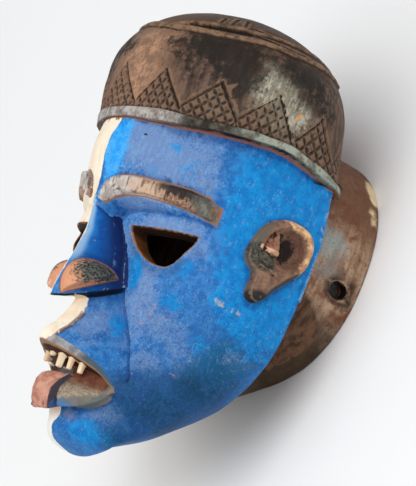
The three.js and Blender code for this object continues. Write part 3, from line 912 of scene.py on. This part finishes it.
low, values = zero_level(GRID)
points, quads = surface_net(low, values, GRID)
points = settled(points, GRID)
mask = mesh_object("mask_carving", points, quads)
thinned(mask, MOST_TRIANGLES)
mask.data.shade_smooth()
write_attributes(mask)


# Materials
def linear(v):
    return v / 255 / 12.92 if v < 11 else ((v / 255 + 0.055) / 1.055) ** 2.4


def rgb(red, green, blue):
    return (linear(red), linear(green), linear(blue), 1)


class Shading:
    def __init__(self, name):
        self.material = bpy.data.materials.new(name)
        self.material.use_nodes = True
        self.tree = self.material.node_tree
        self.shader = self.tree.nodes["Principled BSDF"]
        self.place = self.node("ShaderNodeTexCoord").outputs["Object"]

    def node(self, kind):
        return self.tree.nodes.new(kind)

    def put(self, socket, value):
        if isinstance(value, bpy.types.NodeSocket):
            self.tree.links.new(value, socket)
        else:
            socket.default_value = value

    def read(self, name):
        node = self.node("ShaderNodeAttribute")
        node.attribute_name = name
        return node.outputs["Fac"]

    def noise(self, size, stretch=(1, 1, 1), detail=4, rough=0.55, shift=0.0):
        spread = self.node("ShaderNodeMapping")
        self.put(spread.inputs["Vector"], self.place)
        spread.inputs["Scale"].default_value = [k / (size * MM) for k in stretch]
        spread.inputs["Location"].default_value = (shift, shift * 1.7, shift * 2.3)
        node = self.node("ShaderNodeTexNoise")
        self.put(node.inputs["Vector"], spread.outputs["Vector"])
        node.inputs["Scale"].default_value = 1
        node.inputs["Detail"].default_value = detail
        node.inputs["Roughness"].default_value = rough
        return node.outputs[0]

    def math(self, kind, a, b=0.0):
        node = self.node("ShaderNodeMath")
        node.operation = kind
        self.put(node.inputs[0], a)
        self.put(node.inputs[1], b)
        return node.outputs[0]

    def ramp(self, value, start, end, low=0.0, high=1.0):
        node = self.node("ShaderNodeMapRange")
        node.interpolation_type = "SMOOTHSTEP"
        self.put(node.inputs["Value"], value)
        for name, number in (("From Min", start), ("From Max", end), ("To Min", low), ("To Max", high)):
            self.put(node.inputs[name], number)
        return node.outputs["Result"]

    def mix(self, share, a, b, kind="MIX"):
        node = self.node("ShaderNodeMix")
        node.data_type = "RGBA"
        node.blend_type = kind
        self.put(node.inputs[0], share)
        self.put(node.inputs[6], a)
        self.put(node.inputs[7], b)
        return node.outputs[2]

    def area(self, name, noise=None, ragged=0.0, soft=0.5, start=0.0):
        value = self.read(name)
        if noise is not None:
            value = self.plus(value, self.swing(noise, ragged))
        return self.ramp(value, start - soft, start + soft)

    def times(self, *shares):
        made = shares[0]
        for share in shares[1:]:
            made = self.math("MULTIPLY", made, share)
        return made

    def plus(self, *parts):
        made = parts[0]
        for part in parts[1:]:
            made = self.math("ADD", made, part)
        return made

    # A noise around its mean, as far as the given amount either way
    def swing(self, noise, amount):
        return self.math("MULTIPLY", self.math("SUBTRACT", noise, 0.5), 2 * amount)

    def blend(self, value, start, end, a, b):
        return self.mix(self.ramp(value, start, end), a, b)

    # One colour over another, by the product of some shares
    def lay(self, colour, over, *shares):
        return self.mix(self.times(*shares), colour, over)

    # Rows of a colour, the region that it covers, and the region's noise, raggedness and softness
    def layers(self, colour, *rows):
        for over, name, noise, ragged, soft in rows:
            colour = self.lay(colour, over, self.area(name, noise, ragged, soft))
        return colour

    def less(self, share, other):
        return self.math("MULTIPLY", share, self.math("SUBTRACT", 1.0, other))


def blue_patches(m, patch, mottle, fine, streak):
    across, height = m.read("across"), m.read("height")
    side = m.times(m.ramp(across, 60, 80), m.ramp(height, -22, 20))
    azure = m.math("MAXIMUM", m.read("azure"), m.times(side, 0.95))
    pale = m.less(m.read("pale"), m.times(side, 0.75))
    worn = m.plus(m.swing(patch, 0.6), m.swing(mottle, 0.55), m.swing(fine, 0.55))
    colour = m.blend(mottle, 0.35, 0.65, rgb(26, 104, 176), rgb(60, 132, 200))
    colour = m.blend(m.plus(m.read("teal"), worn), 0.25, 0.95, colour, rgb(8, 92, 134))
    soft = m.blend(streak, 0.4, 0.6, rgb(112, 140, 190), rgb(112, 150, 198))
    colour = m.blend(m.plus(pale, worn), 0.2, 0.9, colour, soft)
    deep = m.blend(mottle, 0.38, 0.62, rgb(0, 120, 196), rgb(10, 142, 214))
    clear = m.blend(mottle, 0.4, 0.6, rgb(30, 160, 246), rgb(76, 176, 242))
    bright = m.lay(deep, clear, m.ramp(across, 28, 12), m.ramp(height, 40, 60))
    colour = m.blend(m.plus(azure, worn), 0.42, 0.8, colour, bright)
    return m.lay(colour, rgb(130, 126, 146), m.ramp(m.plus(m.read("tan"), worn), 0.35, 0.9), 0.7)


def blue_dust(m, colour, mottle, fine, streak, speck):
    colour = m.lay(colour, rgb(160, 184, 214), m.ramp(streak, 0.52, 0.64), m.ramp(fine, 0.45, 0.6), 0.22)
    colour = m.lay(colour, rgb(14, 78, 138), m.ramp(speck, 0.54, 0.64), m.ramp(mottle, 0.62, 0.46), 0.28)
    dotted = m.times(m.ramp(speck, 0.56, 0.66), m.ramp(m.read("height"), 40, 10))
    return m.lay(colour, rgb(20, 74, 120), dotted, m.ramp(m.read("across"), 20, 34), 0.4)


# Painted shade darkens the nose side towards the crease and the top, and a painted highlight runs along the
# ridge
def nose_blue(m, colour, mottle):
    nose, height = m.read("nose_side"), m.read("height")
    near = m.blend(mottle, 0.38, 0.62, rgb(8, 112, 196), rgb(40, 136, 214))
    far = m.blend(mottle, 0.38, 0.62, rgb(0, 74, 152), rgb(0, 92, 170))
    shaded = m.blend(nose, 0.1, 0.5, near, far)
    shaded = m.blend(m.plus(nose, m.times(height, 0.004)), 0.6, 1.05, shaded, rgb(0, 38, 98))
    colour = m.blend(nose, -0.1, 0.05, colour, shaded)
    ridge = m.times(m.ramp(nose, 0.3, 0.14), m.ramp(nose, -0.05, 0.05))
    return m.lay(colour, rgb(160, 196, 224), ridge, m.ramp(height, 14, 26), 0.8)


def blue_paint(m, patch, mottle, fine, streak, speck):
    across, height, groove = m.read("across"), m.read("height"), m.read("groove")
    colour = blue_patches(m, patch, mottle, fine, streak)
    colour = blue_dust(m, colour, mottle, fine, streak, speck)
    colour = nose_blue(m, colour, mottle)
    # Painted shade: darker navy in the creases; lighter where ridges are rubbed
    colour = m.lay(colour, rgb(20, 54, 96), m.ramp(groove, 0.05, 0.2), 0.5)
    colour = m.lay(colour, rgb(150, 178, 210), m.ramp(groove, -0.1, -0.22), m.ramp(fine, 0.4, 0.55), 0.6)
    colour = m.lay(colour, rgb(168, 150, 134), m.ramp(speck, 0.7, 0.76), m.ramp(patch, 0.5, 0.62), 0.7)
    colour = m.lay(colour, rgb(128, 76, 58), m.area("crack", fine, 0.3, 0.3))
    # Painted shade: darker towards the lower outer cheek and the bottom of the jaw
    cheek = m.mix(1.0, colour, rgb(120, 150, 170), "MULTIPLY")
    colour = m.lay(colour, cheek, m.ramp(height, 24, -4), m.ramp(across, 30, 44), 0.2)
    jaw = m.mix(1.0, colour, rgb(104, 134, 148), "MULTIPLY")
    under = m.math("SUBTRACT", height, m.times(across, 0.45))
    return m.lay(colour, jaw, m.ramp(under, -48, -68), m.ramp(across, 16, 40), 0.62)


def white_paint(m, patch, grain, mottle):
    colour = m.blend(grain, 0.4, 0.66, rgb(255, 243, 222), rgb(250, 228, 198))
    colour = m.lay(colour, rgb(238, 206, 170), m.ramp(patch, 0.52, 0.7), m.ramp(mottle, 0.45, 0.65))
    # Painted light: the white turns lighter towards the bottom of the chin
    colour = m.blend(m.read("height"), -62, -80, colour, rgb(255, 252, 240))
    # Painted shade: browner in the creases
    return m.blend(m.read("groove"), 0.12, 0.34, colour, rgb(160, 116, 84))


def hair_wood(m, patch, grain, mottle, fine, streak):
    across, height, groove = m.read("across"), m.read("height"), m.read("groove")
    small = m.noise(3.4, detail=5, rough=0.7, shift=41)
    worn = m.plus(m.swing(patch, 0.5), m.swing(mottle, 0.85), m.swing(small, 0.6))
    colour = m.blend(grain, 0.38, 0.62, rgb(66, 50, 40), rgb(112, 86, 70))
    bare = m.blend(mottle, 0.4, 0.62, rgb(148, 112, 88), rgb(204, 156, 124))
    colour = m.lay(colour, bare, m.ramp(m.plus(across, m.times(mottle, 30)), 56, 24), 0.75)
    # Painted highlight: a pale sheen on the cap
    gloss_and_painted_sheen = m.blend(streak, 0.46, 0.62, rgb(140, 136, 118), rgb(184, 178, 158))
    colour = m.blend(m.plus(m.read("gloss_and_painted_sheen"), worn), 0.25, 0.8, colour, gloss_and_painted_sheen)
    hatched = m.blend(mottle, 0.4, 0.6, rgb(58, 46, 36), rgb(92, 76, 64))
    colour = m.lay(colour, hatched, m.read("hatched"), 0.62)
    soot = m.plus(m.times(m.read("soot"), 0.95), worn)
    colour = m.lay(colour, rgb(30, 24, 19), m.ramp(soot, 0.35, 0.85), 0.92)
    colour = m.lay(colour, rgb(68, 48, 35), m.ramp(m.plus(height, m.times(mottle, 16)), 190, 208), 0.85)
    colour = m.lay(colour, rgb(44, 34, 27), m.ramp(fine, 0.5, 0.66), 0.3)
    colour = m.lay(colour, rgb(172, 146, 120), m.ramp(streak, 0.6, 0.72), m.ramp(patch, 0.45, 0.65), 0.22)
    # Painted highlight on the ridges and painted shade in the grooves
    colour = m.lay(colour, rgb(150, 116, 90), m.ramp(groove, -0.03, -0.14), 0.5)
    colour = m.blend(groove, 0.02, 0.16, colour, rgb(40, 28, 20))
    # Lighter raised crown lines, and near-black cut lines as painted shade
    ring = m.blend(mottle, 0.38, 0.58, rgb(82, 60, 42), rgb(140, 108, 82))
    return m.layers(
        colour,
        (ring, "ring_ridge", mottle, 0.8, 0.6),
        (rgb(20, 15, 12), "ring_gap", fine, 0.8, 0.4))


def collar_wood(m, patch, grain, mottle, fine):
    height = m.read("height")
    colour = m.blend(grain, 0.36, 0.64, rgb(144, 114, 90), rgb(188, 156, 128))
    colour = m.lay(colour, rgb(124, 76, 55), m.ramp(patch, 0.47, 0.6), m.ramp(mottle, 0.4, 0.6))
    colour = m.lay(colour, rgb(112, 72, 50), m.ramp(m.plus(height, m.times(mottle, 16)), 100, 128), 0.9)
    colour = m.lay(colour, rgb(66, 52, 36), m.ramp(m.plus(height, m.times(mottle, 30)), 78, 40), 0.95)
    stain = m.ramp(m.plus(m.read("stain"), m.math("SUBTRACT", mottle, 0.5)), 0.3, 0.85)
    colour = m.lay(colour, rgb(144, 160, 158), stain, m.ramp(fine, 0.3, 0.58, 0.35, 1.0))
    colour = m.lay(colour, rgb(78, 54, 40), m.ramp(fine, 0.55, 0.66), 0.5)
    # Painted highlight: the back rim's edge is pale gold
    painted_rim_highlight = m.plus(m.read("painted_rim_highlight"), m.swing(mottle, 0.4))
    colour = m.blend(painted_rim_highlight, 0.45, 0.75, colour, rgb(244, 218, 172))
    # Painted shade: the tie hole's wall is near black
    colour = m.lay(colour, rgb(16, 10, 8), m.area("tie_wall_shade", fine, 0.8, 0.5))
    # Painted shade: darker in the creases
    return m.blend(m.read("groove"), 0.04, 0.2, colour, rgb(50, 34, 24))


def ear_wood(m, mottle, grain, fine):
    groove = m.read("groove")
    colour = m.blend(mottle, 0.38, 0.62, rgb(110, 82, 68), rgb(150, 114, 92))
    colour = m.blend(m.plus(m.read("depth"), m.times(mottle, 12)), 90, 98, colour, rgb(100, 92, 80))
    bowl = m.blend(mottle, 0.4, 0.6, rgb(76, 47, 39), rgb(108, 76, 62))
    tab = m.blend(fine, 0.4, 0.6, rgb(118, 76, 58), rgb(156, 108, 86))
    blob = m.blend(fine, 0.4, 0.6, rgb(50, 48, 44), rgb(84, 84, 74))
    colour = m.layers(
        colour,
        (bowl, "ear_bowl", mottle, 2.0, 1.5),
        (rgb(62, 62, 56), "ear_low", mottle, 1.6, 1.0),
        (tab, "ear_tab", mottle, 0.6, 0.7),
        (rgb(26, 14, 10), "gouge", fine, 4.5, 0.8),
        (blob, "ear_blob", mottle, 1.5, 1.2),
        # Painted highlight: a peach line on the tab's lower edge
        (rgb(232, 180, 146), "ear_lip_highlight", fine, 0.5, 0.4),
        (rgb(40, 38, 36), "lobe_tip", mottle, 2.5, 1.5))
    # Painted highlight: a pale gold band along the ear's rim
    crest = m.blend(mottle, 0.42, 0.6, rgb(240, 196, 146), rgb(188, 138, 100))
    colour = m.lay(colour, crest, m.area("ear_crest_highlight", fine, 2.2, 1.0), m.ramp(grain, 0.26, 0.46))
    # Lighter on the ridges, and darker in the grooves as painted shade
    colour = m.lay(colour, rgb(176, 138, 108), m.ramp(groove, -0.03, -0.2), 0.4)
    return m.blend(groove, 0.08, 0.3, colour, rgb(38, 26, 20))


def mouth_parts(m, colour, mottle, fine, grain):
    across, height = m.read("across"), m.read("height")
    lip = m.blend(mottle, 0.4, 0.62, rgb(180, 174, 172), rgb(128, 130, 134))
    lip = m.blend(m.plus(across, m.times(mottle, 10)), 20, 28, lip, rgb(80, 90, 98))
    # Under the upper lip: bare wood darkened as painted shade, lighter at its front edge
    under = m.lay(rgb(66, 38, 26), rgb(150, 118, 94), m.area("lip_edge", mottle, 0.5, 0.6))
    low = m.blend(mottle, 0.4, 0.6, rgb(124, 114, 102), rgb(98, 108, 108))
    low = m.lay(low, rgb(70, 120, 170), m.ramp(m.plus(height, m.times(mottle, 10)), -66, -72),
                m.ramp(m.plus(across, m.times(mottle, 8)), 28, 22))
    pale = m.blend(fine, 0.4, 0.6, rgb(172, 158, 136), rgb(140, 124, 106))
    red = m.blend(mottle, 0.4, 0.6, rgb(128, 78, 58), rgb(100, 58, 42))
    shelf = m.blend(m.plus(height, m.times(mottle, 12)), -60, -49, pale, red)
    flesh = m.blend(mottle, 0.4, 0.62, rgb(214, 158, 136), rgb(178, 118, 98))
    flesh = m.blend(across, 11.2, 11.48, flesh, rgb(66, 66, 80))
    ivory = m.blend(grain, 0.4, 0.62, rgb(255, 240, 212), rgb(232, 198, 158))
    return m.layers(
        colour,
        (lip, "lip", mottle, 0.9, 0.5),
        (under, "lip_under", mottle, 0.4, 0.4),
        (low, "lower_lip", mottle, 0.8, 0.5),
        (shelf, "lip_shelf", mottle, 0.4, 0.5),
        (flesh, "tongue", mottle, 0.4, 0.4),
        (ivory, "teeth", None, 0, 0.3))


def wing_wood(m, mottle, fine):
    turned = m.plus(m.read("across"), m.times(m.read("height"), 0.6))
    dark = m.blend(fine, 0.42, 0.6, rgb(96, 102, 96), rgb(48, 42, 38))
    return m.blend(m.plus(turned, m.times(m.plus(mottle, fine), 26)), 38, 50, rgb(226, 160, 122), dark)


def brow_wood(m, mottle, fine, streak):
    across = m.plus(m.read("across"), m.times(mottle, 16))
    rise = m.plus(m.read("brow_rise"), m.swing(streak, 0.7))
    grey = m.blend(mottle, 0.4, 0.6, rgb(212, 204, 198), rgb(180, 168, 160))
    brown = m.blend(fine, 0.4, 0.6, rgb(176, 136, 108), rgb(120, 92, 76))
    dark = m.blend(streak, 0.44, 0.6, rgb(54, 46, 44), rgb(32, 26, 24))
    tail = m.blend(mottle, 0.4, 0.6, rgb(126, 126, 114), rgb(88, 88, 80))
    colour = m.blend(across, 28, 44, grey, rgb(206, 174, 148))
    colour = m.blend(across, 48, 60, colour, brown)
    colour = m.lay(colour, dark, m.ramp(across, 46, 58), m.ramp(rise, 0.28, 0.55))
    colour = m.lay(colour, rgb(110, 92, 78), m.ramp(across, 26, 18), m.ramp(rise, 0.55, 0.85), 0.7)
    colour = m.blend(across, 66, 76, colour, tail)
    return m.lay(colour, rgb(60, 46, 40), m.ramp(streak, 0.53, 0.66), 0.7)


def band_wood(m, patch, mottle, streak):
    along = m.plus(m.read("across"), m.times(patch, 20))
    colour = m.blend(mottle, 0.42, 0.6, rgb(184, 178, 174), rgb(140, 128, 118))
    dark = m.blend(mottle, 0.36, 0.56, rgb(84, 80, 68), rgb(44, 38, 30))
    colour = m.blend(along, 50, 64, colour, dark)
    green = m.blend(mottle, 0.46, 0.66, rgb(158, 166, 152), rgb(112, 106, 92))
    colour = m.blend(along, 78, 92, colour, green)
    return m.lay(colour, rgb(56, 46, 38), m.ramp(streak, 0.54, 0.66), 0.5)


def eye_wood(m, mottle):
    height = m.read("height")
    colour = m.blend(height, 52, 46, rgb(44, 26, 16), rgb(92, 54, 24))
    colour = m.blend(height, 42, 34, colour, rgb(120, 80, 44))
    return m.lay(colour, rgb(158, 104, 64), m.ramp(m.read("eye_depth"), 1.8, 0.8),
                 m.ramp(mottle, 0.42, 0.58))


def nose_and_brows(m, colour, mottle, fine, streak):
    # Painted shade under the nose: near-black navy on the blue side, a darker cream on the white
    under = m.lay(rgb(236, 206, 172), rgb(0, 22, 44), m.area("blue_side", soft=0.4))
    colour = m.lay(colour, under, m.area("nose_under_shade", mottle, 0.8, 0.4))
    # Painted shade: the blue side is darker in broad hollows
    hollow_shade = m.mix(0.8, colour, rgb(150, 180, 205), "MULTIPLY")
    colour = m.lay(colour, hollow_shade, m.ramp(m.read("hollow_shade"), 0.15, 0.9), m.area("blue_side"))
    colour = m.lay(colour, rgb(150, 92, 66), m.area("wing", fine, 0.4, 0.4, -0.7), m.ramp(mottle, 0.3, 0.5))
    colour = m.lay(colour, wing_wood(m, mottle, fine), m.area("wing", mottle, 0.5, 0.5))
    colour = m.lay(colour, rgb(150, 92, 66), m.area("under_band", mottle, 1.0, 0.5), 0.9)
    # Painted shadow: the gap under the band is near black
    colour = m.lay(colour, rgb(26, 21, 18), m.area("band_gap"))
    colour = m.lay(colour, rgb(150, 108, 84), m.area("brow", mottle, 0.9, 0.4, -1.0))
    return m.lay(colour, brow_wood(m, mottle, fine, streak), m.area("brow", mottle, 0.7, 0.5))


def painted_wood():
    m = Shading("painted_wood")
    patch = m.noise(24, detail=3, rough=0.6)
    mottle = m.noise(7, detail=6, rough=0.68, shift=4)
    grain = m.noise(5, stretch=(1, 0.14, 1), detail=5, rough=0.6, shift=9)
    streak = m.noise(2.4, stretch=(1, 0.3, 1), detail=3, shift=15)
    fine = m.noise(1.7, detail=3, rough=0.6, shift=21)
    speck = m.noise(1.3, detail=1, shift=33)
    white = white_paint(m, patch, grain, mottle)
    blue = blue_paint(m, patch, mottle, fine, streak, speck)
    colour = m.lay(white, blue, m.area("blue_side", mottle, 1.6, 0.35))
    colour = m.lay(colour, rgb(92, 56, 38), m.area("seam", fine, 0.25, 0.4), 0.8)
    colour = nose_and_brows(m, colour, mottle, fine, streak)
    colour = mouth_parts(m, colour, mottle, fine, grain)
    colour = m.layers(
        colour,
        (collar_wood(m, patch, grain, mottle, fine), "collar", mottle, 1.4, 0.5),
        (ear_wood(m, mottle, grain, fine), "ear", mottle, 0.5, 0.4),
        (hair_wood(m, patch, grain, mottle, fine, streak), "hair", mottle, 0.4, 0.4),
        (band_wood(m, patch, mottle, streak), "band", mottle, 0.7, 0.5),
        (rgb(166, 170, 166), "chip", fine, 1.6, 0.7),
        (rgb(180, 140, 136), "scuff", fine, 3.0, 0.8),
        (rgb(52, 36, 34), "gash", mottle, 1.0, 0.4),
        (rgb(232, 150, 70), "fresh", fine, 0.4, 0.4),
        (eye_wood(m, mottle), "eye_wall", mottle, 0.4, 0.4),
        (m.blend(grain, 0.38, 0.62, rgb(70, 48, 34), rgb(112, 80, 58)), "inside", mottle, 0.6, 0.6))
    m.put(m.shader.inputs["Base Color"], colour)
    # The cap is also glossier where its sheen highlight is painted
    gloss = m.plus(m.ramp(mottle, 0.3, 0.7, 0.52, 0.74), m.times(m.read("gloss_and_painted_sheen"), -0.14))
    m.put(m.shader.inputs["Roughness"], gloss)
    m.put(m.shader.inputs["Specular IOR Level"], 0.2)
    relief = m.plus(m.times(grain, 0.7), m.times(fine, 0.25), m.times(mottle, 0.7))
    bump = m.node("ShaderNodeBump")
    bump.inputs["Strength"].default_value = 0.55
    bump.inputs["Distance"].default_value = 0.9 * MM
    m.put(bump.inputs["Height"], relief)
    m.put(m.shader.inputs["Normal"], bump.outputs["Normal"])
    return m.material


def floor_finish():
    m = Shading("floor")
    m.put(m.shader.inputs["Base Color"], m.mix(m.noise(90), (0.93, 0.93, 0.925, 1), (0.95, 0.95, 0.945, 1)))
    m.put(m.shader.inputs["Roughness"], 0.9)
    return m.material


mask.data.materials.clear()
mask.data.materials.append(painted_wood())

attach(mask, "root")
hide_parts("mask")

# Camera: a long lens in front of the mask's left cheek
TOWARDS = Vector((0.799, -0.257, 0.544)).normalized()
UP = Vector((0, 0.904, 0.427))
UP = (UP - TOWARDS * UP.dot(TOWARDS)).normalized()
RIGHT = UP.cross(TOWARDS)
FRAME_HEIGHT = 324 * MM
DISTANCE = 5.0
MIDDLE_DEPTH = 60 * MM
aim = (RIGHT * -24.67 + UP * 99.33) * MM + TOWARDS * MIDDLE_DEPTH + SHIFT
camera = bpy.data.objects.new("camera", bpy.data.cameras.new("camera"))
bpy.context.collection.objects.link(camera)
camera.data.sensor_fit = "VERTICAL"
camera.data.sensor_height = 24
camera.data.lens = 24 * DISTANCE / FRAME_HEIGHT
camera.data.clip_end = 100
turned = Matrix((RIGHT, UP, TOWARDS)).transposed().to_4x4()
camera.matrix_world = Matrix.Translation(aim + TOWARDS * DISTANCE) @ turned
bpy.context.scene.camera = camera

# Floor and lights
FLOOR_HALF = 30
corners = [(x * FLOOR_HALF, y * FLOOR_HALF, 0) for x, y in ((-1, -1), (1, -1), (1, 1), (-1, 1))]
floor_mesh = bpy.data.meshes.new("floor")
floor_mesh.from_pydata(corners, [], [(0, 1, 2, 3)])
floor = bpy.data.objects.new("floor", floor_mesh)
bpy.context.collection.objects.link(floor)
floor.location.z = low_corner[2] - 0.0005
floor_mesh.materials.append(floor_finish())


def area_light(name, direction, distance, size, watts, colour=(1, 1, 1)):
    light = bpy.data.objects.new(name, bpy.data.lights.new(name, "AREA"))
    bpy.context.collection.objects.link(light)
    light.data.shape = "DISK"
    light.data.size = size
    light.data.energy = watts
    light.data.color = colour
    direction = Vector(direction).normalized()
    light.location = Vector((0, 0, 0.08)) + direction * distance
    light.rotation_euler = direction.to_track_quat("Z", "Y").to_euler()


area_light("key", UP * 0.5 + TOWARDS * 0.9 - RIGHT * 0.4, 2.2, 1.9, 23)
area_light("side", TOWARDS * 0.55 - RIGHT, 2.4, 2.4, 13)

world = bpy.data.worlds.new("studio")
bpy.context.scene.world = world
world.use_nodes = True
world.node_tree.nodes["Background"].inputs["Color"].default_value = (0.95, 0.97, 1.0, 1)
world.node_tree.nodes["Background"].inputs["Strength"].default_value = 0.55
bpy.context.scene.view_settings.view_transform = "Standard"
